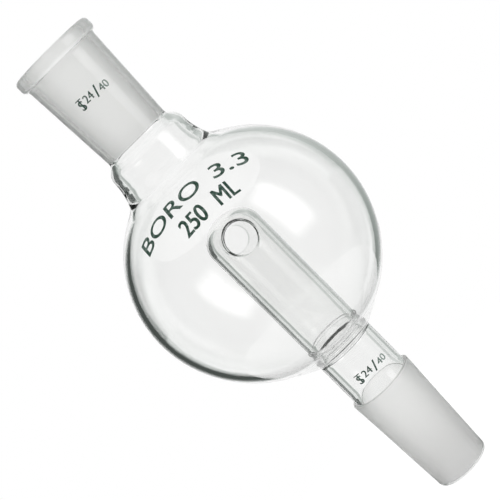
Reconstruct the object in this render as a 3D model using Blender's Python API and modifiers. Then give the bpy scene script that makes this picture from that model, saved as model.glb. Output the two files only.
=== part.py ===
"""Bump trap for a rotary evaporator: a 250 mL glass bulb between two 24/40 ground joints.

The trap hangs by its socket. The origin is the centre of the socket's mouth, +Z points up and out of
the mouth along the glass's axis, and the larger of the vapour tube's two side holes faces -Y.
Every piece is turned about the axis from the outline of its wall. Lengths are in metres.
"""

import math

import bmesh
import bpy

# Standard taper 24/40: 24 mm at the large end, ground over 40 mm, 1 in 10 on diameter
JOINT_LARGE_D = 0.024
JOINT_GROUND = 0.040
JOINT_TAPER = 0.1

# Outer joint (socket), with the rolled collar that stands out from its wall
SOCKET_WALL = 0.0022
SOCKET_SHORTFALL = 0.0015
COLLAR_LIP = 0.0013
COLLAR_HEIGHT = 0.005
COLLAR_ROUND = 0.0016
COLLAR_COVE = 0.0008
MOUTH_ROUND = 0.0005

# Upper neck: a round shoulder out from the socket, a slow flare, and a cove on to the bulb
NECK_LENGTH = 0.0165
NECK_WALL = 0.0022
NECK_SHOULDER = 0.0031
NECK_SHOULDER_HEIGHT = 0.0055
NECK_FLARE = 0.0019
NECK_COVE = 0.00225

# Bulb
BULB_D = 0.0834
BULB_WALL = 0.0021

# Vapour tube, standing inside the bulb, with its side holes below the crown of its dome
VAPOUR_D = 0.0206
VAPOUR_WALL = 0.0020
VAPOUR_RISE = 0.0171
DOME_HEIGHT = 0.0068
DOME_SQUARENESS = 2.6
FRONT_HOLE_D = 0.0106
REAR_HOLE_D = 0.0094
FRONT_HOLE_DROP = 0.0088
REAR_HOLE_DROP = 0.0099
HOLE_TURN = math.radians(6.7)

# Ring seal between the vapour tube's foot and the floor of the bulb
SEAL_HEIGHT = 0.0017
SEAL_LIP = 0.0008
SEAL_ROUND = 0.0005

# Lower neck, narrower than the cone's large end by the cone's shoulder
LOWER_NECK_WALL = 0.0019
LOWER_NECK_LENGTH = 0.0145
LOWER_NECK_FLARE = 0.0006
LOWER_NECK_FLARE_HEIGHT = 0.0025

# Inner joint (cone)
CONE_WALL = 0.0019
CONE_STUB = 0.0012
CONE_SHOULDER = 0.00115
CONE_SHOULDER_HEIGHT = 0.0026
TIP_ROUND = 0.0009

# Clearance left at each fused seam, and smoothness of the turned shapes
SEAM_GAP = 0.0003
TURN_STEPS = 48
ARC_STEPS = 4
BULB_STEPS = 18

mouth_r = JOINT_LARGE_D / 2
tip_r = mouth_r - JOINT_TAPER / 2 * JOINT_GROUND
collar_r = mouth_r + SOCKET_WALL + COLLAR_LIP
socket_bottom_z = SOCKET_SHORTFALL - JOINT_GROUND
socket_bottom_bore_r = mouth_r + JOINT_TAPER / 2 * socket_bottom_z
socket_bottom_r = socket_bottom_bore_r + SOCKET_WALL
neck_top_z = socket_bottom_z - SEAM_GAP
neck_shoulder_r = socket_bottom_r + NECK_SHOULDER
neck_shoulder_z = neck_top_z - NECK_SHOULDER_HEIGHT
neck_foot_r = neck_shoulder_r + NECK_FLARE
bulb_r = BULB_D / 2
bulb_bore_r = bulb_r - BULB_WALL
bulb_mouth_r = neck_foot_r + NECK_COVE
bulb_mouth_z = neck_top_z - NECK_LENGTH
bulb_z = bulb_mouth_z - math.sqrt(bulb_r**2 - bulb_mouth_r**2)
bulb_mouth_angle = math.asin(bulb_mouth_r / bulb_r)
vapour_r = VAPOUR_D / 2
vapour_bore_r = vapour_r - VAPOUR_WALL
lower_neck_r = mouth_r - CONE_SHOULDER
lower_bore_r = lower_neck_r - LOWER_NECK_WALL


def floor_z(ball_r, r):
    """Height of the lower half of a ball round the bulb's centre, at distance r from the axis."""
    return bulb_z - math.sqrt(ball_r**2 - r**2)


lower_neck_top_z = floor_z(bulb_r + SEAM_GAP, lower_neck_r)
lower_neck_bottom_z = lower_neck_top_z - LOWER_NECK_LENGTH
cone_top_z = lower_neck_bottom_z - SEAM_GAP
cone_large_z = cone_top_z - CONE_STUB - CONE_SHOULDER_HEIGHT
tip_z = cone_large_z - JOINT_GROUND
seal_top_z = floor_z(bulb_bore_r - SEAM_GAP, vapour_r) + SEAL_HEIGHT
vapour_foot_z = seal_top_z + SEAM_GAP
vapour_top_z = bulb_z + VAPOUR_RISE


def remove_old_objects():
    for old in list(bpy.data.objects):
        bpy.data.objects.remove(old, do_unlink=True)


def new_collection(name):
    group = bpy.data.collections.new(name)
    bpy.context.scene.collection.children.link(group)
    return group


def glass(name, colour, roughness):
    """Principled glass, clear or ground."""
    material = bpy.data.materials.new(name)
    material.use_nodes = True
    shader = material.node_tree.nodes["Principled BSDF"]
    shader.inputs["Base Color"].default_value = (*colour, 1.0)
    shader.inputs["Roughness"].default_value = roughness
    shader.inputs["Metallic"].default_value = 0.0
    shader.inputs["IOR"].default_value = 1.474
    shader.inputs["Transmission Weight"].default_value = 1.0
    return material


def corner(centre_r, centre_z, size, start, end, height=None):
    """Points (r, z) on a quarter turn, angles in degrees from the outward direction."""
    tall = size if height is None else height
    points = []
    for step in range(ARC_STEPS + 1):
        angle = math.radians(start + (end - start) * step / ARC_STEPS)
        points.append((centre_r + size * math.cos(angle), centre_z + tall * math.sin(angle)))
    return points


def ball_point(ball_r, angle):
    """A point of a ball round the bulb's centre, at an angle from straight up."""
    return (ball_r * math.sin(angle), bulb_z + ball_r * math.cos(angle))


def ball_arc(ball_r, start, end, steps):
    """Points of such a ball from one angle to another."""
    return [ball_point(ball_r, start + (end - start) * step / steps) for step in range(steps + 1)]


def floor_arc(ball_r, start_r, end_r):
    """Points along the floor of such a ball from one distance from the axis to another."""
    start = math.pi - math.asin(start_r / ball_r)
    return ball_arc(ball_r, start, math.pi - math.asin(end_r / ball_r), ARC_STEPS)


def flare(start_r, start_z, end_r, end_z):
    """Points down a wall that leaves upright and opens out faster and faster, without its start."""
    points = []
    for step in range(1, ARC_STEPS + 1):
        share = step / ARC_STEPS
        points.append((start_r + (end_r - start_r) * share**2, start_z + (end_z - start_z) * share))
    return points


def turned(name, outline, closed, material, group):
    """A solid of revolution. The outline runs down the outer side first, then up the inner side."""
    mesh = bpy.data.meshes.new(name)
    form = bmesh.new()
    corners = [form.verts.new((r, 0.0, z)) for r, z in outline]
    for first, second in zip(corners, corners[1:]):
        form.edges.new((first, second))
    if closed:
        form.edges.new((corners[-1], corners[0]))
    form.to_mesh(mesh)
    form.free()
    piece = bpy.data.objects.new(name, mesh)
    group.objects.link(piece)
    mesh.materials.append(material)
    screw = piece.modifiers.new("Turn", "SCREW")
    screw.axis = "Z"
    screw.angle = math.tau
    screw.steps = TURN_STEPS
    screw.render_steps = TURN_STEPS
    screw.use_merge_vertices = True
    screw.merge_threshold = 0.00001
    screw.use_smooth_shade = True
    return piece


def outer_joint_outline():
    """Ground bore, parallel wall outside, and the rolled collar round the mouth."""
    round_r = collar_r - COLLAR_ROUND
    cove_z = -COLLAR_HEIGHT - COLLAR_COVE
    cove_r = mouth_r + SOCKET_WALL + JOINT_TAPER / 2 * cove_z + COLLAR_COVE
    outline = corner(round_r, -COLLAR_ROUND, COLLAR_ROUND, 90, 0)
    outline += corner(round_r, COLLAR_ROUND - COLLAR_HEIGHT, COLLAR_ROUND, 0, -90)
    outline += corner(cove_r, cove_z, COLLAR_COVE, 90, 180)
    outline.append((socket_bottom_r, socket_bottom_z))
    outline.append((socket_bottom_bore_r, socket_bottom_z))
    outline.append((mouth_r - JOINT_TAPER / 2 * MOUTH_ROUND, -MOUTH_ROUND))
    outline.append((mouth_r + MOUTH_ROUND, 0.0))
    return outline


def upper_neck_outline():
    """The socket's wall size at the top, a round shoulder, a slow flare and a cove on to the bulb."""
    cove_z = bulb_mouth_z + NECK_COVE
    inner_shoulder_r = neck_shoulder_r - NECK_WALL
    inner_shoulder = inner_shoulder_r - socket_bottom_bore_r
    inner_height = NECK_SHOULDER_HEIGHT - NECK_WALL
    outline = corner(socket_bottom_r, neck_shoulder_z, NECK_SHOULDER, 90, 0, NECK_SHOULDER_HEIGHT)
    outline += flare(neck_shoulder_r, neck_shoulder_z, neck_foot_r, cove_z)
    outline.append((bulb_mouth_r, bulb_mouth_z))
    outline.append(ball_point(bulb_bore_r, bulb_mouth_angle))
    outline += flare(inner_shoulder_r, neck_shoulder_z, neck_foot_r - NECK_WALL, cove_z)[::-1]
    outline += corner(socket_bottom_bore_r, neck_shoulder_z, inner_shoulder, 0, 90, inner_height)
    outline.append((socket_bottom_bore_r, neck_top_z))
    return outline


def bulb_outline():
    """A ball's wall: cut square across the wall at the neck, and by a round hole in its floor."""
    top = bulb_mouth_angle + SEAM_GAP / bulb_r
    outside = ball_arc(bulb_r, top, math.pi - math.asin(lower_bore_r / bulb_r), BULB_STEPS)
    inside = ball_arc(bulb_bore_r, top, math.pi - math.asin(lower_bore_r / bulb_bore_r), BULB_STEPS)
    return outside + inside[::-1]


def dome(r, height, base_z):
    """Points of a flattened dome from its crown on the axis down to its side."""
    points = [(0.0, base_z + height)]
    steps = 2 * ARC_STEPS
    for step in range(1, steps + 1):
        angle = math.pi / 2 * step / steps
        across = math.sin(angle) ** (2 / DOME_SQUARENESS)
        up = max(math.cos(angle), 0.0) ** (2 / DOME_SQUARENESS)
        points.append((r * across, base_z + height * up))
    return points


def vapour_tube_outline():
    """Dome and wall outside, then the bore back up to the inside of the dome."""
    side_z = vapour_top_z - DOME_HEIGHT
    outside = dome(vapour_r, DOME_HEIGHT, side_z) + [(vapour_r, vapour_foot_z)]
    inside = dome(vapour_bore_r, DOME_HEIGHT - VAPOUR_WALL, side_z) + [(vapour_bore_r, vapour_foot_z)]
    return outside + inside[::-1]


def ring_seal_outline():
    """A bead as wide as the tube's wall and a little more, sitting on the floor of the bulb."""
    seal_r = vapour_r + SEAL_LIP
    outline = corner(seal_r - SEAL_ROUND, seal_top_z - SEAL_ROUND, SEAL_ROUND, 90, 0)
    outline += floor_arc(bulb_bore_r - SEAM_GAP, seal_r, vapour_bore_r)
    outline.append((vapour_bore_r, seal_top_z))
    return outline


def lower_neck_outline():
    """A tube whose flared top follows the underside of the bulb."""
    flare_r = lower_neck_r + LOWER_NECK_FLARE
    outline = floor_arc(bulb_r + SEAM_GAP, lower_bore_r, flare_r)
    outline.append((lower_neck_r, lower_neck_top_z - LOWER_NECK_FLARE_HEIGHT))
    outline.append((lower_neck_r, lower_neck_bottom_z))
    outline.append((lower_bore_r, lower_neck_bottom_z))
    return outline


def inner_joint_outline():
    """A stub as wide as the neck, a round shoulder, the ground cone, and a rounded open tip."""
    bore_large_z = cone_large_z - CONE_WALL
    bore_widening = mouth_r - (1 + JOINT_TAPER / 2) * CONE_WALL - lower_bore_r
    outline = [(lower_neck_r, cone_top_z)]
    outline += corner(lower_neck_r, cone_large_z, CONE_SHOULDER, 90, 0, CONE_SHOULDER_HEIGHT)
    outline.append((tip_r + JOINT_TAPER / 2 * TIP_ROUND, tip_z + TIP_ROUND))
    outline += corner(tip_r - TIP_ROUND, tip_z + TIP_ROUND, TIP_ROUND, 0, -90)[1:]
    outline.append((tip_r - CONE_WALL, tip_z))
    outline += corner(lower_bore_r, bore_large_z, bore_widening, 0, 90, CONE_SHOULDER_HEIGHT)
    outline.append((lower_bore_r, cone_top_z))
    return outline


def hole_cutter(name, diameter, drop, turn, group):
    """A round bar that passes through one side of the vapour tube's wall, below its crown."""
    length = 2 * vapour_r
    form = bmesh.new()
    bmesh.ops.create_cone(
        form,
        cap_ends=True,
        segments=TURN_STEPS // 2,
        radius1=diameter / 2,
        radius2=diameter / 2,
        depth=length,
    )
    mesh = bpy.data.meshes.new(name)
    form.to_mesh(mesh)
    form.free()
    bar = bpy.data.objects.new(name, mesh)
    group.objects.link(bar)
    bar.rotation_euler = (math.pi / 2, 0.0, turn)
    bar.location = (math.sin(turn) * vapour_r, -math.cos(turn) * vapour_r, vapour_top_z - drop)
    bar.display_type = "WIRE"
    bar.hide_render = True
    return bar


def cut(piece, cutter):
    hole = piece.modifiers.new("Side hole", "BOOLEAN")
    hole.operation = "DIFFERENCE"
    hole.solver = "EXACT"
    hole.object = cutter


remove_old_objects()
trap = new_collection("bump_trap")
cutters = new_collection("cutters")
clear_glass = glass("clear_glass", (0.93, 0.96, 0.94), 0.0)
ground_glass = glass("ground_glass", (0.88, 0.89, 0.88), 0.55)

turned("outer_joint", outer_joint_outline(), True, ground_glass, trap)
turned("upper_neck", upper_neck_outline(), True, clear_glass, trap)
turned("bulb", bulb_outline(), True, clear_glass, trap)
vapour_tube = turned("vapour_tube", vapour_tube_outline(), False, clear_glass, trap)
turned("ring_seal", ring_seal_outline(), True, clear_glass, trap)
turned("lower_neck", lower_neck_outline(), True, clear_glass, trap)
turned("inner_joint", inner_joint_outline(), True, ground_glass, trap)

cut(vapour_tube, hole_cutter("front_hole", FRONT_HOLE_D, FRONT_HOLE_DROP, HOLE_TURN, cutters))
cut(vapour_tube, hole_cutter("rear_hole", REAR_HOLE_D, REAR_HOLE_DROP, HOLE_TURN + math.pi, cutters))
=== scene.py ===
"""Looks of the rotary evaporator bump trap: blown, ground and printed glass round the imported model."""

import math

import bmesh
import bpy
import numpy as np
from mathutils import Matrix, Vector, noise


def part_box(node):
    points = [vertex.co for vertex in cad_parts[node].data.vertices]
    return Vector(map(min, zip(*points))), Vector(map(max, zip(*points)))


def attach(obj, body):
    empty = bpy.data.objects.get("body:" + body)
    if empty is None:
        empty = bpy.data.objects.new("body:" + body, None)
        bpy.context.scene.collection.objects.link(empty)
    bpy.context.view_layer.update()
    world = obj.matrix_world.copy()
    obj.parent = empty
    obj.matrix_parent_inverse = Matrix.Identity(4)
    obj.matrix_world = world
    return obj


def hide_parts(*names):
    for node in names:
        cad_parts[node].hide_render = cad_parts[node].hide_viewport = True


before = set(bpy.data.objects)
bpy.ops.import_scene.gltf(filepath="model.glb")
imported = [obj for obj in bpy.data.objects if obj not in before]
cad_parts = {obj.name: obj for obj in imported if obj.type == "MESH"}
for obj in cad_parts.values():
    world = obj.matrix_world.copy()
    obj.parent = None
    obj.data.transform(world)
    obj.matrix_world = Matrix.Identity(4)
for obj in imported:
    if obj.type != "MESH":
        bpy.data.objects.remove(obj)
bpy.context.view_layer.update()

# --- Camera ---------------------------------------------------------------------------------------------
# A long lens, a little above the bulb, rolled an eighth of a turn so that the socket points up and to the
# left. The bulb's centre, which it aims at, comes from the frame and the size of the hole in the bulb's
# floor.
FLOOR_HOLE_R = 0.00895
bulb_low, bulb_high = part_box("bulb")
ball_r = bulb_high.x
ball_z = bulb_low.z + math.sqrt(ball_r**2 - FLOOR_HOLE_R**2)

CAMERA_AWAY = 0.471
CAMERA_ABOVE = 0.073
AIM_ABOVE = 0.0024
AIM_ASIDE = 0.00027
LENS_MM = 106.35
CAMERA_ROLL = math.radians(45)

camera = bpy.data.objects.new("camera", bpy.data.cameras.new("camera"))
bpy.context.scene.collection.objects.link(camera)
camera.data.lens = LENS_MM
camera.data.sensor_width = 36.0
camera.data.clip_start = 0.01
camera.data.clip_end = 20.0
stand = Vector((0.0, -CAMERA_AWAY, ball_z + CAMERA_ABOVE))
ahead = (Vector((AIM_ASIDE, 0.0, ball_z + AIM_ABOVE)) - stand).normalized()
level = ahead.cross(Vector((0.0, 0.0, 1.0))).normalized()
upright = level.cross(ahead)
right = level * math.cos(CAMERA_ROLL) - upright * math.sin(CAMERA_ROLL)
up = upright * math.cos(CAMERA_ROLL) + level * math.sin(CAMERA_ROLL)
turned_to = Matrix((right, up, -ahead)).transposed().to_4x4()
camera.matrix_world = Matrix.Translation(stand) @ turned_to
bpy.context.scene.camera = camera

# --- Outer joint (socket) -------------------------------------------------------------------------------
# The socket is thick tubing pulled to a standard taper, with a rolled, fire-polished collar. Its outside
# stays clear and its bore is ground with carborundum, which leaves fine rings and a white matt surface.
COLLAR_HEIGHT = 0.005
COLLAR_ROUND = 0.0016
COLLAR_COVE = 0.0012
SOCKET_WALL = 0.0022
JOINT_LARGE_R = 0.012
TAPER = 0.05  # on the radius, which is 1 in 10 on the diameter
MOUTH_ROUND = 0.0005
AROUND = 192
CLEAR, GROUND, SEAM = 0, 1, 2


class Shade:
    """A socket of a material's nodes: sums on it add Math nodes, and node() adds any other node."""

    def __init__(self, tree, socket=None):
        self.tree = tree
        self.socket = socket

    def node(self, kind, settings, values, output=0):
        """Adds a node, sets it up, fills or links its sockets, and gives one of its outputs."""
        made = self.tree.nodes.new("ShaderNode" + kind)
        for name, value in settings.items():
            setattr(made, name, value)
        for name, value in values.items():
            if isinstance(value, Shade):
                self.tree.links.new(value.socket, made.inputs[name])
            else:
                made.inputs[name].default_value = value
        return Shade(self.tree, made.outputs[output] if output is not None else None)

    def maths(self, operation, first, second=0.0):
        return self.node("Math", {"operation": operation}, {0: first, 1: second})

    def __add__(self, other):
        return self.maths("ADD", self, other)

    def __radd__(self, other):
        return self.maths("ADD", other, self)

    def __sub__(self, other):
        return self.maths("SUBTRACT", self, other)

    def __rsub__(self, other):
        return self.maths("SUBTRACT", other, self)

    def __mul__(self, other):
        return self.maths("MULTIPLY", self, other)

    def __rmul__(self, other):
        return self.maths("MULTIPLY", other, self)

    def rise(self, start, end):
        """0 below start, 1 above end, and a smooth step between."""
        limits = {"Value": self, "From Min": start, "From Max": end}
        return self.node("MapRange", {"interpolation_type": "SMOOTHSTEP"}, limits)

    def grain(self, size, detail=2.0, stretch=(1.0, 1.0, 1.0)):
        """Noise from 0 to 1 whose spots are about size metres across, in the piece's own space."""
        place = self.node("TexCoord", {}, {}, "Object")
        place = self.node("Mapping", {}, {"Vector": place, "Scale": stretch})
        values = {"Vector": place, "Scale": 1.0 / size, "Detail": detail}
        return self.node("TexNoise", {}, values, "Fac")


def new_material(name):
    """An empty material, and the Shade that its nodes are made with."""
    material = bpy.data.materials.new(name)
    material.use_nodes = True
    material.node_tree.nodes.clear()
    return material, Shade(material.node_tree)


GLASS_IOR = 1.474
EDGE_ANGLE = math.radians(35)  # edges sharper than this are shaded as edges

clear_glass, shade = new_material("clear_borosilicate")
ripple = shade.grain(0.006, 1.0) + 0.3 * shade.grain(0.0012, 1.0, (1.0, 1.0, 0.12))
smooth = shade.node("Bump", {}, {"Height": ripple, "Strength": 0.35, "Distance": 0.00002})
shine = 0.012 * shade.grain(0.012, 3.0).rise(0.45, 0.8)
glass = shade.node("BsdfPrincipled", {}, {
    "Base Color": (0.997, 0.998, 0.995, 1.0), "Roughness": shine, "IOR": GLASS_IOR,
    "Transmission Weight": 1.0, "Normal": smooth})
shade.node("OutputMaterial", {}, {"Surface": glass}, None)

ground_glass, shade = new_material("ground_borosilicate")
rings = shade.grain(0.0009, 3.0, (0.06, 0.06, 1.0))
pits = shade.grain(0.00018, 2.0)
cloud = shade.grain(0.004, 3.0)
relief = 0.5 * rings + 0.5 * pits
matt = shade.node("Bump", {}, {"Height": relief, "Strength": 0.5, "Distance": 0.00006})
frost = 0.50 + 0.10 * rings + 0.06 * cloud
glass = shade.node("BsdfPrincipled", {}, {
    "Base Color": (0.985, 0.985, 0.975, 1.0), "Roughness": frost, "IOR": GLASS_IOR,
    "Transmission Weight": 0.94, "Normal": matt})
shade.node("OutputMaterial", {}, {"Surface": glass}, None)

seam, shade = new_material("fused_seam")
shade.node("OutputMaterial", {}, {"Surface": shade.node("BsdfTransparent", {}, {})}, None)


def spread(start, end, steps):
    """Even steps, and one more just inside each end, so that shading meets the next wall's exactly."""
    even = np.linspace(start, end, steps + 1)
    tiny = (end - start) * 0.003
    return np.concatenate((even[:1], [start + tiny], even[1:-1], [end - tiny], even[-1:]))


def bend(start, lead, trail, end, steps=12):
    """Points (r, z) along one smooth bend that leaves start towards lead and reaches end from trail."""
    share = spread(0.0, 1.0, steps)[:, None]
    rest = 1.0 - share
    ends = rest**3 * np.array(start) + share**3 * np.array(end)
    pulls = 3 * rest**2 * share * np.array(lead) + 3 * rest * share**2 * np.array(trail)
    return [tuple(point) for point in ends + pulls]


def quarter(r, z, size, start, end, steps=10):
    """Points on part of a circle round (r, z), with angles in degrees from straight out."""
    angles = np.radians(np.linspace(start, end, steps + 1))
    return [(r + size * math.cos(a), z + size * math.sin(a)) for a in angles]


def straight(start, end, steps=1):
    """Points on a straight stretch of wall."""
    share = np.linspace(0.0, 1.0, steps + 1)[:, None]
    return [tuple(p) for p in (1 - share) * np.array(start) + share * np.array(end)]


TOUCHING = 1e-8


def path(*stretches):
    """Stretches joined end to end, without the points that they share."""
    joined = list(stretches[0])
    for stretch in stretches[1:]:
        joined += stretch[1:] if math.dist(joined[-1], stretch[0]) < TOUCHING else stretch
    return joined


HAND = 0.00005  # how far the glass strays from true
HAND_SPAN = 0.016  # and over what length
AXIS_CALM = 0.006  # within this radius it strays less and less


def hand_blown(point):
    """A point moved in or out by the slight unevenness that glass worked by hand has."""
    r = math.hypot(point[0], point[1])
    if r < 1e-6:
        return point
    place = Vector(point) / HAND_SPAN
    push = HAND * noise.noise(place) * min(1.0, r / AXIS_CALM)
    return (point[0] * (1 + push / r), point[1] * (1 + push / r), point[2])


def dress(piece, node):
    """Gives a glass piece its three finishes, and puts it in the frame in place of its CAD node."""
    for finish in (clear_glass, ground_glass, seam):
        piece.data.materials.append(finish)
    piece.data.shade_smooth()
    piece.data.set_sharp_from_angle(angle=EDGE_ANGLE)
    bpy.context.scene.collection.objects.link(piece)
    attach(piece, "root")
    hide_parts(node)
    return piece


def turned(name, walls):
    """A turned piece. Each wall is (finish, points) and runs down the outside, then up the inside.

    Where one wall ends away from the next, the gap is a fused seam to the neighbouring piece.
    """
    outline, finishes = [], []
    for finish, points in walls:
        touching = outline and math.dist(outline[-1], points[0]) < TOUCHING
        if touching:
            finishes[-1] = finish
        for point in points[1 if touching else 0:]:
            outline.append(point)
            finishes.append(finish)
        finishes[-1] = SEAM
    if math.dist(outline[-1], outline[0]) < TOUCHING:
        outline.pop()
        finishes.pop()
    count = len(outline)
    turn = np.arange(AROUND) * (math.tau / AROUND)
    r, z = np.array(outline).T
    x = np.outer(r, np.cos(turn)).ravel()
    y = np.outer(r, np.sin(turn)).ravel()
    corners = [hand_blown(p) for p in zip(x, y, np.repeat(z, AROUND))]
    faces, kinds = [], []
    for row in range(count):
        below = (row + 1) % count
        for step in range(AROUND):
            after = (step + 1) % AROUND
            faces.append((row * AROUND + step, below * AROUND + step,
                          below * AROUND + after, row * AROUND + after))
            kinds.append(finishes[row])
    mesh = bpy.data.meshes.new(name)
    mesh.from_pydata(corners, [], faces)
    mesh.polygons.foreach_set("material_index", kinds)
    return bpy.data.objects.new(name, mesh)


socket_low, socket_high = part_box("outer_joint")
collar_r = socket_high.x
mouth_z = socket_high.z
mouth_r = JOINT_LARGE_R
socket_foot_z = socket_low.z
bore_foot_r = mouth_r + TAPER * socket_foot_z
socket_foot_r = bore_foot_r + SOCKET_WALL
round_r = collar_r - COLLAR_ROUND
cove_z = mouth_z - COLLAR_HEIGHT - COLLAR_COVE
cove_r = mouth_r + SOCKET_WALL + TAPER * cove_z
outside = path(
    straight((mouth_r + MOUTH_ROUND, mouth_z), (round_r, mouth_z), 4),
    quarter(round_r, mouth_z - COLLAR_ROUND, COLLAR_ROUND, 90, 0),
    quarter(round_r, mouth_z - COLLAR_HEIGHT + COLLAR_ROUND, COLLAR_ROUND, 0, -90),
    bend((round_r, mouth_z - COLLAR_HEIGHT), (cove_r + 0.4 * COLLAR_COVE, mouth_z - COLLAR_HEIGHT),
         (cove_r, cove_z + 0.5 * COLLAR_COVE), (cove_r, cove_z), 8),
    straight((cove_r, cove_z), (socket_foot_r, socket_foot_z), 32))
bore = path(
    straight((bore_foot_r, socket_foot_z), (mouth_r - TAPER * MOUTH_ROUND, -MOUTH_ROUND), 38),
    bend((mouth_r - TAPER * MOUTH_ROUND, -MOUTH_ROUND), (mouth_r, -0.3 * MOUTH_ROUND),
         (mouth_r + 0.6 * MOUTH_ROUND, 0.0), (mouth_r + MOUTH_ROUND, 0.0), 4))
dress(turned("ground_socket", [(CLEAR, outside), (GROUND, bore)]), "outer_joint")

# --- Upper neck -----------------------------------------------------------------------------------------
# The glassblower opens the bulb's tubing to a round shoulder and fuses the socket on to it. Below, the
# wall flares slowly and runs into the bulb in a soft cove. The bore opens out below the socket's end, and
# swells again under its waist.
SEAM_GAP = 0.00001
NECK_SHOULDER_R = 0.01538
NECK_SHOULDER_Z = -0.0444
NECK_FOOT_R = 0.01728
NECK_FOOT_Z = -0.0528
NECK_JOIN_ANGLE = math.radians(30.5)
NECK_WALL = 0.0022
WAIST_Z = -0.0488
WAIST_SWELL = 0.0003
FILLET_WIDE = 0.0006  # the small cove between the socket's end and the shoulder
FILLET_TALL = 0.0011
BULB_WALL = 0.0021
EGG = 0.00058


def ball(size, angle):
    """A point (r, z) of the blown ball, at an angle from straight up. It is a little fuller above."""
    size = size + EGG * math.sin(2 * angle)
    return (size * math.sin(angle), ball_z + size * math.cos(angle))


def along_ball(size, angle, distance):
    """A point off the ball's surface point at an angle, a distance back up along its slope."""
    r, z = ball(size, angle)
    before = ball(size, angle - 0.001)
    slope = math.dist(before, (r, z))
    return (r + (before[0] - r) * distance / slope, z + (before[1] - z) * distance / slope)


inner_ball_r = ball_r - BULB_WALL
neck_top_z = socket_foot_z - SEAM_GAP
foot_join = ball(ball_r, NECK_JOIN_ANGLE)
fillet_end = (socket_foot_r + FILLET_WIDE, neck_top_z - FILLET_TALL)
outside = path(
    bend((socket_foot_r, neck_top_z), (socket_foot_r, neck_top_z - 0.0005),
         (socket_foot_r + 0.0002, neck_top_z - 0.0008), fillet_end, 8),
    bend(fillet_end, (socket_foot_r + 0.0019, neck_top_z - 0.0021),
         (NECK_SHOULDER_R, NECK_SHOULDER_Z + 0.0024), (NECK_SHOULDER_R, NECK_SHOULDER_Z), 16),
    bend((NECK_SHOULDER_R, NECK_SHOULDER_Z), (NECK_SHOULDER_R, NECK_SHOULDER_Z - 0.003),
         (NECK_FOOT_R - 0.0009, NECK_FOOT_Z + 0.0022), (NECK_FOOT_R, NECK_FOOT_Z), 16),
    bend((NECK_FOOT_R, NECK_FOOT_Z), (NECK_FOOT_R + 0.0003, NECK_FOOT_Z - 0.0008),
         along_ball(ball_r, NECK_JOIN_ANGLE, 0.0026), foot_join, 20))
in_join = ball(inner_ball_r, NECK_JOIN_ANGLE)
in_shoulder_r = NECK_SHOULDER_R - NECK_WALL
waist = (in_shoulder_r + WAIST_SWELL, WAIST_Z)
opening_z = neck_top_z - 0.0004
inside = path(
    bend(in_join, along_ball(inner_ball_r, NECK_JOIN_ANGLE, 0.0054),
         (in_shoulder_r + 0.0007, -0.0534), waist, 30),
    bend(waist, (in_shoulder_r, -0.0473), (in_shoulder_r, -0.0455), (in_shoulder_r, NECK_SHOULDER_Z), 10),
    bend((in_shoulder_r, NECK_SHOULDER_Z), (in_shoulder_r, NECK_SHOULDER_Z + 0.0028),
         (bore_foot_r, opening_z - 0.0022), (bore_foot_r, opening_z), 24),
    straight((bore_foot_r, opening_z), (bore_foot_r, neck_top_z), 2))
dress(turned("shouldered_neck", [(CLEAR, outside), (CLEAR, inside)]), "upper_neck")

# --- Bulb -----------------------------------------------------------------------------------------------
# The bulb is one blown ball of even wall, 250 mL inside, open to the neck above and pierced below, where
# the lower neck and the vapour tube's foot are fused on to the two sides of its wall.
FLOOR_DRAWN_R = 0.0206  # inside this radius the ball is drawn down to the lower neck
CREASE_R = 0.0113  # where its outside meets the lower neck
CREASE_Z = -0.1334
MOAT_R = 0.0110  # where its inside meets the ring seal
MOAT_Z = -0.1320
FLOOR_SLOPE = 0.6


def ball_wall(size, start, end, steps):
    """Points on such a ball from one angle to another."""
    return [ball(size, angle) for angle in spread(start, end, steps)]


def floor_angle(size, r):
    """The angle at which the lower half of such a ball is at distance r from the axis."""
    return math.pi - math.asin(r / size)


top_angle = NECK_JOIN_ANGLE + SEAM_GAP / ball_r
drawn_angle = floor_angle(ball_r, FLOOR_DRAWN_R)
moat = (MOAT_R, MOAT_Z)
edge_in = (FLOOR_HOLE_R, MOAT_Z - FLOOR_SLOPE * (MOAT_R - FLOOR_HOLE_R))
edge_out = (FLOOR_HOLE_R, CREASE_Z)
crease = (CREASE_R, CREASE_Z)
drawn = ball(ball_r, drawn_angle)
outside = path(
    ball_wall(ball_r, top_angle, drawn_angle, 110),
    bend(drawn, along_ball(ball_r, drawn_angle, -0.0030),
         (CREASE_R + 0.0030, CREASE_Z + 0.0017), crease, 16))
in_drawn = ball(inner_ball_r, drawn_angle)
inside = path(
    bend(moat, (MOAT_R + 0.0026, MOAT_Z + 0.0026 * FLOOR_SLOPE),
         along_ball(inner_ball_r, drawn_angle, -0.0026), in_drawn, 16),
    ball_wall(inner_ball_r, drawn_angle, top_angle, 110))
walls = [
    (CLEAR, outside),
    (SEAM, straight(crease, edge_out, 4)),
    (CLEAR, straight(edge_out, edge_in, 4)),
    (SEAM, straight(edge_in, moat, 4)),
    (CLEAR, inside),
]
dress(turned("blown_bulb", walls), "bulb")

# --- Vapour tube ----------------------------------------------------------------------------------------
# A plain tube closed to a flattened dome. Two side holes are blown through under the crown and their rims
# are fire-polished, so that each rim is a round, slightly swollen lip.
VAPOUR_WALL = 0.0017
DOME_HEIGHT = 0.0085
DOME_SQUARENESS = 2.1
HOLE_TURN = math.radians(6.7)
FRONT_HOLE = (0.0053, 0.0088)  # radius, and depth of its middle under the crown
REAR_HOLE = (0.0047, 0.0099)
LIP_R = 0.00065
LIP_SWELL = 0.04
LIP_FADE = 0.0016
TUBE_ROWS = 132
# Each hole has its own patch of faces, which reaches this far along the wall and this many columns aside.
WINDOW_TOP = 0.0034
WINDOW_BELOW = 0.0086
WINDOW_COLUMNS = 32

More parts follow.
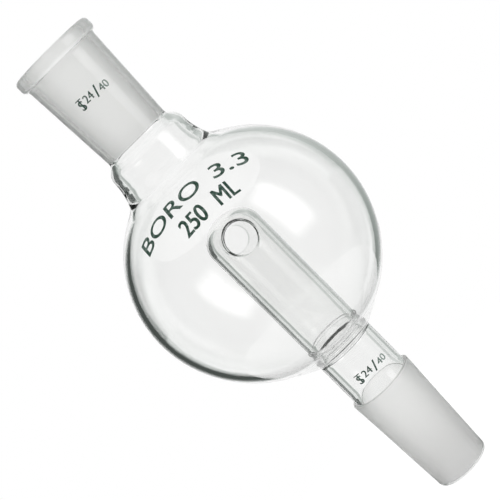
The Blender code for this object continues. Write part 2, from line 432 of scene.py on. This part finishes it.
tube_low, tube_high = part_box("vapour_tube")
tube_r = tube_high.x
crown_z = tube_high.z
tube_foot_z = tube_low.z
tube_sides = []
for wall in (0.0, VAPOUR_WALL):
    turn = np.linspace(0.0, math.pi / 2, 400)
    power = 2 / DOME_SQUARENESS
    dome_r = (tube_r - wall) * np.sin(turn) ** power
    dome_z = crown_z - DOME_HEIGHT + (DOME_HEIGHT - wall) * np.clip(np.cos(turn), 0, 1) ** power
    r = np.append(dome_r, tube_r - wall)
    z = np.append(dome_z, tube_foot_z)
    reach = np.append(0.0, np.cumsum(np.hypot(np.diff(r), np.diff(z))))
    tube_sides.append((reach, r, z))


def on_tube(side, turn, reach):
    """The point on the tube's outer (0) or inner (1) face, a reach along the wall from the crown."""
    known, r, z = tube_sides[side]
    r = np.interp(reach, known, r)
    return np.array((r * math.sin(turn), -r * math.cos(turn), np.interp(reach, known, z)))


def drilled(side, hole_r, hole_z, angle):
    """Where a straight drill's edge meets that face, as a turn from the hole's middle and a reach."""
    known, r, z = tube_sides[side]
    reach = np.interp(-(hole_z + hole_r * math.sin(angle)), -z, known)
    return np.array((math.asin(hole_r * math.cos(angle) / np.interp(reach, known, r)), reach))


row_reach = [np.linspace(0.0, tube_sides[side][0][-1], TUBE_ROWS + 1) for side in (0, 1)]
column_turn = HOLE_TURN + math.tau / AROUND * np.arange(AROUND)
corners, faces, kinds = [], [], []
grid = []
for side in (0, 1):
    rows = [[len(corners)] * AROUND]
    corners.append(on_tube(side, 0.0, 0.0))
    for row in range(1, TUBE_ROWS + 1):
        rows.append(list(range(len(corners), len(corners) + AROUND)))
        corners += [on_tube(side, turn, row_reach[side][row]) for turn in column_turn]
    grid.append(rows)

holes = []
for facing, (hole_r, drop) in ((0, FRONT_HOLE), (AROUND // 2, REAR_HOLE)):
    middle = drilled(0, 0.0, crown_z - drop, 0.0)[1]
    top_row = int(np.searchsorted(row_reach[0], WINDOW_TOP))
    bottom_row = int(np.searchsorted(row_reach[0], middle + WINDOW_BELOW))
    holes.append((facing, hole_r, crown_z - drop, middle, top_row, bottom_row))


def in_window(row, column):
    """Whether a hole's own patch takes the place of this cell."""
    for facing, *_, top_row, bottom_row in holes:
        across = (column - facing + WINDOW_COLUMNS) % AROUND
        if top_row <= row < bottom_row and across < 2 * WINDOW_COLUMNS:
            return True
    return False


for side in (0, 1):
    for row in range(TUBE_ROWS):
        for column in range(AROUND):
            if in_window(row, column):
                continue
            after = (column + 1) % AROUND
            ring = (grid[side][row][column], grid[side][row + 1][column],
                    grid[side][row + 1][after], grid[side][row][after])
            faces.append(tuple(dict.fromkeys(ring)))
            kinds.append(CLEAR)
for column in range(AROUND):
    after = (column + 1) % AROUND
    faces.append((grid[0][-1][column], grid[1][-1][column], grid[1][-1][after], grid[0][-1][after]))
    kinds.append(SEAM)


def swollen(share):
    """How far out of the wall the surface lies near a lip: fully at share 0, and not at all at 1."""
    return 1 + LIP_SWELL * (1 - share) ** 2 * (1 + 2 * share)


for facing, hole_r, hole_z, middle, top_row, bottom_row in holes:
    wide = WINDOW_COLUMNS
    border = [(row, wide) for row in range(bottom_row, top_row, -1)]
    border += [(top_row, across) for across in range(wide, -wide, -1)]
    border += [(row, -wide) for row in range(top_row, bottom_row)]
    border += [(bottom_row, across) for across in range(-wide, wide)]
    facing_turn = HOLE_TURN + math.tau / AROUND * facing
    edges, limits, lengths = ([], []), ([], []), ([], [])
    for row, across in border:
        turn = math.tau / AROUND * across
        angle = math.atan2(middle - row_reach[0][row], turn * tube_r)
        for side in (0, 1):
            edge = drilled(side, hole_r, hole_z, angle)
            limit = np.array((turn, row_reach[side][row]))
            away = limit - edge
            edges[side].append(edge)
            limits[side].append(away)
            lengths[side].append(math.hypot(away[0] * (tube_r - side * VAPOUR_WALL), away[1]))

    def wall_point(spot, distance, through):
        """A point beside the hole: a distance from its edge, and through the wall from 1 out to -1 in."""
        both = []
        for side in (0, 1):
            share = distance[side] / lengths[side][spot]
            turn, reach = edges[side][spot] + share * limits[side][spot]
            both.append(on_tube(side, facing_turn + turn, reach))
        return both[0] * (1 + through) / 2 + both[1] * (1 - through) / 2

    # Rings of points from the patch's border in to the lip, round it through the wall, and out again.
    # Each is a share of the way from the lip to the border, or else a distance from the hole's edge.
    rings = [[grid[0][row][(facing + across) % AROUND] for row, across in border]]
    shares = np.linspace(1.0, 0.0, 9)
    steps = [(share, None, 1.0) for share in shares[1:]]
    steps += [(None, LIP_R + LIP_FADE * share, swollen(share)) for share in shares[1:-1]]
    steps += [(None, LIP_R * (1 - math.sin(lean)), (1 + LIP_SWELL) * math.cos(lean))
              for lean in np.radians(np.linspace(0.0, 180.0, 17))]
    steps += [(None, LIP_R + LIP_FADE * share, -swollen(share)) for share in shares[-2:0:-1]]
    steps += [(share, None, -1.0) for share in shares[:0:-1]]
    clear_of_lip = LIP_R + LIP_FADE
    for share, distance, through in steps:
        ring = []
        for spot in range(len(border)):
            if share is None:
                away = (distance, distance)
            else:
                away = [clear_of_lip + share * (lengths[side][spot] - clear_of_lip) for side in (0, 1)]
            ring.append(len(corners))
            corners.append(wall_point(spot, away, through))
        rings.append(ring)
    rings.append([grid[1][row][(facing + across) % AROUND] for row, across in border])
    for first, second in zip(rings, rings[1:]):
        for spot in range(len(border)):
            after = (spot + 1) % len(border)
            faces.append((first[spot], first[after], second[after], second[spot]))
            kinds.append(CLEAR)

mesh = bpy.data.meshes.new("vapour_tube_glass")
mesh.from_pydata([hand_blown(tuple(point)) for point in corners], [], faces)
mesh.polygons.foreach_set("material_index", kinds)
form = bmesh.new()
form.from_mesh(mesh)
loose = [corner for corner in form.verts if not corner.link_faces]
bmesh.ops.delete(form, geom=loose, context="VERTS")
bmesh.ops.recalc_face_normals(form, faces=form.faces)
form.to_mesh(mesh)
form.free()
dress(bpy.data.objects.new("vapour_tube_glass", mesh), "vapour_tube")

# --- Ring seal ------------------------------------------------------------------------------------------
# Where the tube's foot meets the bulb's floor the glass is melted together into one thick ring: a swollen
# bead round the foot, a soft cove on to the floor, and a slight ridge in the bore.
BEAD_R = 0.01082
BEAD_Z = -0.1290
SEAL_R = 0.0105
SEAL_Z = BEAD_Z - 0.0010
WELT = 0.00012
WELT_HALF = 0.00022
WELT_Z = -0.1286

seal_top_z = tube_foot_z - SEAM_GAP
tube_bore_r = tube_r - VAPOUR_WALL
seal_moat = (MOAT_R, MOAT_Z + SEAM_GAP)
seal_edge = (FLOOR_HOLE_R, edge_in[1] + SEAM_GAP)
outside = path(
    bend((tube_r, seal_top_z), (tube_r, seal_top_z - 0.0002),
         (BEAD_R, BEAD_Z + 0.0005), (BEAD_R, BEAD_Z), 10),
    bend((BEAD_R, BEAD_Z), (BEAD_R, BEAD_Z - 0.0004), (SEAL_R, BEAD_Z - 0.0004), (SEAL_R, SEAL_Z), 10),
    bend((SEAL_R, SEAL_Z), (SEAL_R, MOAT_Z + 0.0002),
         (MOAT_R - 0.0003, MOAT_Z - 0.0003 * FLOOR_SLOPE), seal_moat, 14))


def welted(points, height):
    """A bore wall with a thin raised ring, left where two tubes were melted together."""
    return [(r - WELT * math.exp(-((z - height) / WELT_HALF) ** 2), z) for r, z in points]


inside = welted(straight(seal_edge, (tube_bore_r, seal_top_z), 60), WELT_Z)
walls = [(CLEAR, outside), (SEAM, straight(seal_moat, seal_edge, 4)), (CLEAR, inside)]
dress(turned("ring_seal_bead", walls), "ring_seal")

# --- Lower neck -----------------------------------------------------------------------------------------
# A short clear tube between the bulb and the cone, fused to the underside of the bulb, with a small crease
# where the two walls meet.
LOWER_NECK_R = 0.01085
LOWER_NECK_WALL = 0.0019
CREASE_FADE = 0.0013

lower_low, lower_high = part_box("lower_neck")
lower_foot_z = lower_low.z + SEAM_GAP
neck_crease = (CREASE_R, CREASE_Z - SEAM_GAP)
outside = path(
    bend(neck_crease, (CREASE_R - 0.00026, CREASE_Z - 0.00015), (LOWER_NECK_R, CREASE_Z - 0.6 * CREASE_FADE),
         (LOWER_NECK_R, CREASE_Z - CREASE_FADE), 14),
    straight((LOWER_NECK_R, CREASE_Z - CREASE_FADE), (LOWER_NECK_R, lower_foot_z), 14))
lower_bore_r = LOWER_NECK_R - LOWER_NECK_WALL
inside = straight((lower_bore_r, lower_foot_z), (FLOOR_HOLE_R, CREASE_Z - SEAM_GAP), 14)
dress(turned("clear_lower_neck", [(CLEAR, outside), (CLEAR, inside)]), "lower_neck")

# --- Inner joint (cone) ---------------------------------------------------------------------------------
# The cone is ground on its outside to the same taper as the socket. Its bore stays clear, and its open
# tip is fire-polished, so the matt surface stops just short of it.
GROUND_LENGTH = 0.040
CONE_WALL = 0.0019
CONE_STUB = 0.0037
POLISHED_TIP = 0.0012
TIP_ROUND = 0.0009
TIP_BORE_ROUND = 0.0008

cone_low, cone_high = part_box("inner_joint")
cone_top_z = lower_foot_z - SEAM_GAP
tip_z = cone_low.z
cone_large_z = tip_z + GROUND_LENGTH
tip_r = mouth_r - TAPER * (cone_large_z - tip_z)
stub_z = cone_top_z - CONE_STUB
stub = straight((LOWER_NECK_R, cone_top_z), (LOWER_NECK_R, stub_z), 2)
shoulder = bend((LOWER_NECK_R, stub_z), (LOWER_NECK_R, stub_z - 0.0005),
                (mouth_r - 0.0001, cone_large_z + 0.0006), (mouth_r, cone_large_z), 12)
polish_z = tip_z + POLISHED_TIP
polish_r = tip_r + TAPER * POLISHED_TIP
matt_side = path(shoulder, straight((mouth_r, cone_large_z), (polish_r, polish_z), 38))
tip_bore_r = tip_r - CONE_WALL
tip = path(
    bend((polish_r, polish_z), (polish_r - 0.00003, tip_z + 0.0004), (tip_r - 0.0004, tip_z),
         (tip_r - TIP_ROUND, tip_z), 8),
    bend((tip_r - TIP_ROUND, tip_z), (tip_bore_r + 0.0003, tip_z), (tip_bore_r, tip_z + 0.0003),
         (tip_bore_r, tip_z + TIP_BORE_ROUND), 8))
bore_large = (mouth_r - CONE_WALL, cone_large_z - 0.0025)
inside = path(
    straight((tip_bore_r, tip_z + TIP_BORE_ROUND), bore_large, 38),
    bend(bore_large, (bore_large[0] + 0.0001, cone_large_z - 0.0005),
         (lower_bore_r, stub_z - 0.001), (lower_bore_r, cone_top_z), 14))
walls = [(CLEAR, stub), (GROUND, matt_side), (CLEAR, tip), (CLEAR, inside)]
dress(turned("ground_cone", walls), "inner_joint")

# --- Printed marks --------------------------------------------------------------------------------------
# Fired-on enamel, screen printed before the glass was annealed: a thin dark green film, a little uneven,
# with the volume and a generic glass type on the bulb and the joint size beside each ground joint.
FILM_GAP = 0.000012  # between the glass and the film
FILM = 0.00004
LAYER = 0.000002  # each further word lies this much higher, so that no two films are flush
CUT = 0.0005  # the letters are cut this fine, so that they bend with the glass

enamel, shade = new_material("green_enamel")
across = shade.node("SeparateXYZ", {}, {0: shade.node("TexCoord", {}, {}, "Object")}, "X")
worn = shade.grain(0.0011, 4.0).rise(0.42, 0.72)
# Paler in random worn patches, and paler towards +X where the surface does not face up: that part is a
# painted highlight of the soft box on the right.
wear_and_painted_highlight = 0.28 * worn + 0.55 * across.rise(0.0014, 0.0075) * shade.node(
    "SeparateXYZ", {}, {0: shade.node("TexCoord", {}, {}, "Normal")}, "Z").rise(0.5, 0.2)
ink_with_painted_highlight = shade.node("Mix", {"data_type": "RGBA"}, {
    "Factor": wear_and_painted_highlight, 6: (0.012, 0.052, 0.032, 1.0), 7: (0.42, 0.50, 0.46, 1.0)}, 2)
film = shade.node("Bump", {}, {"Height": shade.grain(0.0004, 3.0), "Strength": 0.3, "Distance": 0.00002})
enamel_shine = 0.30 + 0.2 * shade.grain(0.0008, 3.0)
paint = shade.node("BsdfPrincipled", {}, {
    "Base Color": ink_with_painted_highlight, "Roughness": enamel_shine, "IOR": 1.5, "Normal": film})
shade.node("OutputMaterial", {}, {"Surface": paint}, None)


def flat_letters(words):
    """Flat faces for the words. Each word is (text, (left, right, foot, top), swell) and fills its box."""
    spots, faces = [], []
    for layer, (text, (left, right, foot, top), swell) in enumerate(words):
        curve = bpy.data.curves.new("letters", "FONT")
        curve.body = text
        curve.resolution_u = 8
        curve.offset = swell
        made = bpy.data.objects.new("letters", curve)
        bpy.context.scene.collection.objects.link(made)
        bpy.context.view_layer.update()
        mesh = bpy.data.meshes.new_from_object(made.evaluated_get(bpy.context.evaluated_depsgraph_get()))
        bpy.data.objects.remove(made)
        form = bmesh.new()
        form.from_mesh(mesh)
        bpy.data.meshes.remove(mesh)
        bmesh.ops.remove_doubles(form, verts=form.verts, dist=1e-5)
        xs = [corner.co.x for corner in form.verts]
        ys = [corner.co.y for corner in form.verts]
        wide, tall = max(xs) - min(xs), max(ys) - min(ys)
        low_x, low_y = min(xs), min(ys)
        for corner in form.verts:
            corner.co.x = left + (corner.co.x - low_x) * (right - left) / wide
            corner.co.y = foot + (corner.co.y - low_y) * (top - foot) / tall
        for axis, start, end in ((0, left, right), (1, foot, top)):
            for cut in np.arange(math.ceil(start / CUT), end / CUT) * CUT:
                spot, normal = [0.0, 0.0, 0.0], [0.0, 0.0, 0.0]
                spot[axis], normal[axis] = cut, 1.0
                every = list(form.verts) + list(form.edges) + list(form.faces)
                bmesh.ops.bisect_plane(form, geom=every, dist=1e-8, plane_co=spot, plane_no=normal)
        form.verts.index_update()
        first = len(spots)
        spots += [(corner.co.x, corner.co.y, layer * LAYER) for corner in form.verts]
        for face in form.faces:
            turn = 1 if face.normal.z > 0 else -1
            faces.append([first + corner.index for corner in face.verts][::turn])
        form.free()
    return spots, faces


def stamp(name, words, place):
    """Prints words on the glass. place(x, y, lift) gives the point there, lifted off the glass."""
    spots, faces = flat_letters(words)
    count = len(spots)
    corners = [hand_blown(tuple(place(x, y, FILM_GAP + FILM + layer))) for x, y, layer in spots]
    corners += [hand_blown(tuple(place(x, y, FILM_GAP + layer))) for x, y, layer in spots]
    used = dict.fromkeys(edge for face in faces for edge in zip(face, face[1:] + face[:1]))
    rims = [edge for edge in used if edge[::-1] not in used]
    solid = list(faces) + [[corner + count for corner in face[::-1]] for face in faces]
    solid += [[b, a, a + count, b + count] for a, b in rims]
    mesh = bpy.data.meshes.new(name)
    mesh.from_pydata(corners, [], solid)
    mesh.materials.append(enamel)
    piece = bpy.data.objects.new(name, mesh)
    bpy.context.scene.collection.objects.link(piece)
    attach(piece, "root")
    return piece


def on_bulb(upward, middle):
    """Wraps flat letters along a great circle of the bulb. upward is the side that their tops face."""
    upward = Vector(upward).normalized()
    middle = Vector(middle)
    middle = (middle - middle.dot(upward) * upward).normalized()
    along = upward.cross(middle)

    def place(x, y, lift):
        around = middle * math.cos(x / ball_r) + along * math.sin(x / ball_r)
        out = around * math.cos(y / ball_r) + upward * math.sin(y / ball_r)
        angle = math.acos(out.z)
        return out * (ball_r + EGG * math.sin(2 * angle) + lift) + Vector((0.0, 0.0, ball_z))

    return place


def on_wall(foot_r, lean):
    """Wraps flat letters round the front of a straight wall: foot_r is its radius at height 0."""
    def place(x, z, lift):
        r = foot_r + lean * z
        return ((r + lift) * math.sin(x / r), -(r + lift) * math.cos(x / r), z)

    return place


def joint_size(left, right, foot, top, shift):
    """The joint's size: the standard taper's sign, then 24/40 with its first number a little raised."""
    left, right, wide, tall = left + shift, right + shift, right - left, top - foot
    boxes = (("S", 0.01, 0.16, 0.0, 0.82), ("l", 0.075, 0.105, 0.0, 0.93), ("-", 0.0, 0.17, 0.92, 1.0),
             ("24", 0.22, 0.49, 0.24, 0.92), ("/", 0.54, 0.68, 0.0, 1.0), ("40", 0.71, 1.0, 0.10, 0.74))
    return [(text, (left + a * wide, left + b * wide, foot + c * tall, foot + d * tall), 0.0)
            for text, a, b, c, d in boxes]


# A word that is struck twice, a hair apart, has the heavy strokes of a fired print.
NUMBER_STRIKE = 0.0003
LETTER_STRIKE = 0.00032
SMALL_STRIKE = 0.00012
VOLUME_TALL = 0.0062
TYPE_FOOT, TYPE_TOP = -0.0076, -0.0018

volume = [("250", (-0.0102 + shift, -0.0009 + shift, -VOLUME_TALL, 0.0), 0.006)
          for shift in (0.0, NUMBER_STRIKE)]
volume += [("ML", (0.0037 + shift, 0.0109 + shift, -VOLUME_TALL, 0.0), 0.0)
           for shift in (0.0, LETTER_STRIKE)]
stamp("volume_mark", volume, on_bulb((0.039, 0.669, 0.743), (0.0, -0.778, 0.629)))
glass_type = [("BORO", (-0.0222, 0.0052, TYPE_FOOT, TYPE_TOP), 0.010),
              ("3.3", (0.0098, 0.0222, TYPE_FOOT, TYPE_TOP), 0.010)]
stamp("glass_type_mark", glass_type, on_bulb((0.077, 0.833, 0.548), (-0.035, -0.578, 0.815)))
for name, box, wall in (
        ("socket_size_mark", (-0.0060, 0.0060, -0.0211, -0.0172), (mouth_r + SOCKET_WALL, TAPER)),
        ("cone_size_mark", (-0.0054, 0.0073, -0.1449, -0.1413), (LOWER_NECK_R, 0.0))):
    size = joint_size(*box, 0.0) + joint_size(*box, SMALL_STRIKE)
    stamp(name, size, on_wall(*wall))

# --- Floor and light ------------------------------------------------------------------------------------
# A small pale disc under the tip, in a white studio: a white sweep behind, dark boards either side of it
# that draw the edges of the glass, and one soft box to the right of the camera. What the glass bends into
# view and what it mirrors are set apart. Angles are in degrees: swing is 0 behind the trap and grows to
# the right, and tilt is 0 at the level of the eye and grows upwards.
FLOOR_R = 0.115
WHITE = (1.0, 1.0, 1.0, 1.0)
BLACK = (0.0, 0.0, 0.0, 1.0)
GREENISH = (0.86, 1.0, 0.92, 1.0)

floor = bpy.data.objects.new("floor", bpy.data.meshes.new("floor"))
form = bmesh.new()
bmesh.ops.create_circle(form, cap_ends=True, segments=96, radius=FLOOR_R)
form.to_mesh(floor.data)
form.free()
floor.location.z = tip_z
bpy.context.scene.collection.objects.link(floor)
floor.visible_glossy = False
pale, shade = new_material("pale_floor")
# The disc glows rather than being lit: evenly white to the camera, and to rays from the glass dimmer towards
# its middle, a painted shade under the trap. A little real diffuse shading is mixed in.
spot = shade.node("TexCoord", {}, {}, "Object")
out = shade.node("VectorMath", {"operation": "LENGTH"}, {0: spot}, "Value").rise(0.0, FLOOR_R)
seen = shade.node("LightPath", {}, {}, "Is Camera Ray")
glow = shade.maths("MAXIMUM", seen, 0.56 + 0.34 * out)
glow = shade.node("Mix", {"data_type": "RGBA"}, {"Factor": glow, 6: BLACK, 7: WHITE}, 2)
floor_glow = shade.node("Emission", {}, {"Color": glow, "Strength": 1.1})
dull = shade.node("BsdfDiffuse", {}, {"Color": (0.9, 0.9, 0.9, 1.0)})
both = shade.node("MixShader", {}, {"Fac": 0.12, 1: floor_glow, 2: dull})
shade.node("OutputMaterial", {}, {"Surface": both}, None)
floor.data.materials.append(pale)

world = bpy.data.worlds.new("studio")
world.use_nodes = True
world.node_tree.nodes.clear()
bpy.context.scene.world = world
shade = Shade(world.node_tree)
toward = shade.node("TexCoord", {}, {}, "Generated")
aside, behind, above = (shade.node("SeparateXYZ", {}, {0: toward}, axis) for axis in "XYZ")
DEGREE = 180 / math.pi
swing = DEGREE * shade.maths("ARCTAN2", aside, behind)
tilt = DEGREE * shade.maths("ARCSINE", above)
side = shade.maths("ABSOLUTE", swing)


def blend(old, new, mask):
    """Old light, or new light where the mask is 1."""
    return old + (new - old) * mask


def patch(value, start, end, soft):
    """1 between two angles, with soft edges."""
    return value.rise(start - soft, start + soft) * (1 - value.rise(end - soft, end + soft))


# Seen through the glass: the white sweep, a dark board on its left and a paler one on its right.
under_top = 1 - tilt.rise(18, 30)
right_board = (swing - (17.0 + 0.09 * tilt)).rise(-1.5, 1.5) * (1 - tilt.rise(10, 22))
through = 1.0 - 0.05 * (1 - tilt.rise(-34, -16))
through = blend(through, 0.42, patch(swing, -29, -17, 1.5) * under_top)
through = blend(through, 0.72, right_board * (1 - swing.rise(27, 31)))

# Mirrored in it: a grey room with a darker front and pale wings, its top and foot, both boards, the sweep
# and the soft box. Above eye level the boards reach further round.
mirrored = blend(0.55, 0.10, side.rise(62, 82))
mirrored = blend(mirrored, 0.28, patch(swing, -104, -76, 5) * patch(tilt, -25, 25, 6))
mirrored = blend(mirrored, 0.82, patch(side, 38, 66, 6) * under_top)
mirrored = blend(mirrored, 0.35, tilt.rise(48, 60))
mirrored = blend(mirrored, 0.40, 1 - tilt.rise(-52, -36))
reach = side - 12 * tilt.rise(-8, -4)
left_board = (1 - swing.rise(-18.5, -15.5)) * (1 - reach.rise(38, 44)) * under_top
mirrored = blend(mirrored, 0.08, left_board)
mirrored = blend(mirrored, 0.52 + 0.008 * tilt, right_board * (1 - reach.rise(36, 42)))
mirrored = blend(mirrored, 1.0, 1 - side.rise(15, 19))
mirrored = blend(mirrored, 2.8, patch(swing, 114, 142, 6) * patch(tilt, -9, 40, 8))

bounced = shade.node("LightPath", {}, {}, "Glossy Depth").rise(0.2, 0.8)
light = shade.maths("MAXIMUM", blend(through, mirrored, bounced), 0.02)
tone = shade.node("Mix", {"data_type": "RGBA"}, {"Factor": light, 6: GREENISH, 7: WHITE}, 2)
studio = shade.node("Background", {}, {"Color": tone, "Strength": light})
white = shade.node("Background", {}, {"Color": WHITE, "Strength": 1.0})
seen = shade.node("LightPath", {}, {}, "Is Camera Ray")
both = shade.node("MixShader", {}, {"Fac": seen, 1: studio, 2: white})
shade.node("OutputWorld", {}, {"Surface": both}, None)
bpy.context.scene.view_settings.view_transform = "Standard"
